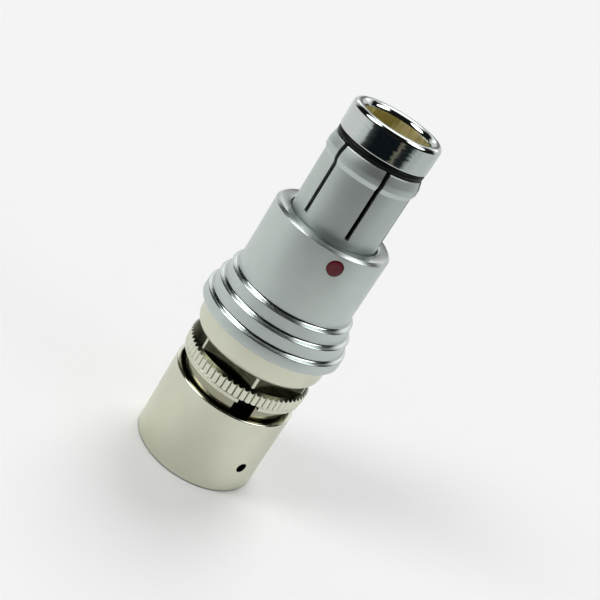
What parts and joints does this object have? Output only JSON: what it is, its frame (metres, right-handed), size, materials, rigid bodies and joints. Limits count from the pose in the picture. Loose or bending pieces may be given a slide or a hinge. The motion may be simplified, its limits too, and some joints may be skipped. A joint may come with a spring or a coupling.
{
  "type": "circular connector plug",
  "caption": "Push-pull circular connector plug with a slotted latch sleeve, a sprung release sleeve, round contact pins and a rear cable clamp.",
  "frame": {"origin": "centre of the flat rear face, on the plug's axis", "axes": "+Z along the plug's axis from the cable end to the mating end, -Y towards the index dot and the key"},
  "size_m": [0.015, 0.015, 0.0388],
  "materials": {
    "polished_chrome": "polished chrome plate on brass",
    "satin_chrome": "satin chrome plate on brass",
    "satin_nickel": "satin nickel plate on brass",
    "spring_steel": "bright stainless spring steel",
    "gold_plate": "gold plate on brass",
    "tan_insulator": "moulded, matt",
    "black_rubber": "smooth moulded rubber",
    "red_enamel": "gloss enamel fill"
  },
  "bodies": {
    "plug_body": {"front_shell": "polished_chrome", "nose_seal": "black_rubber", "stop_ring": "spring_steel", "return_spring": "spring_steel", "rear_body": "satin_nickel", "body_seal": "black_rubber", "clamp_body": "satin_nickel", "rear_sleeve": "satin_nickel", "contact_insert": "tan_insulator", "insert_clamp_left": "satin_nickel", "insert_clamp_right": "satin_nickel", "gland_washer": "spring_steel", "cable_gland": "black_rubber", "thrust_ring": "spring_steel", "contact_pin_1": "gold_plate", "contact_pin_2": "gold_plate", "contact_pin_3": "gold_plate", "contact_pin_4": "gold_plate", "contact_pin_5": "gold_plate"},
    "release": {"release_sleeve": "satin_chrome", "latch_sleeve": "satin_chrome", "index_dot": "red_enamel"}
  },
  "joints": [
    {"name": "release_slide", "type": "slide", "parent": "plug_body", "child": "release", "axis": [0, 0, -1], "range_m": [0, 0.0012], "stiffness_N_per_m": 800, "springref_m": -0.003, "deforming": ["return_spring"]}
  ]
}
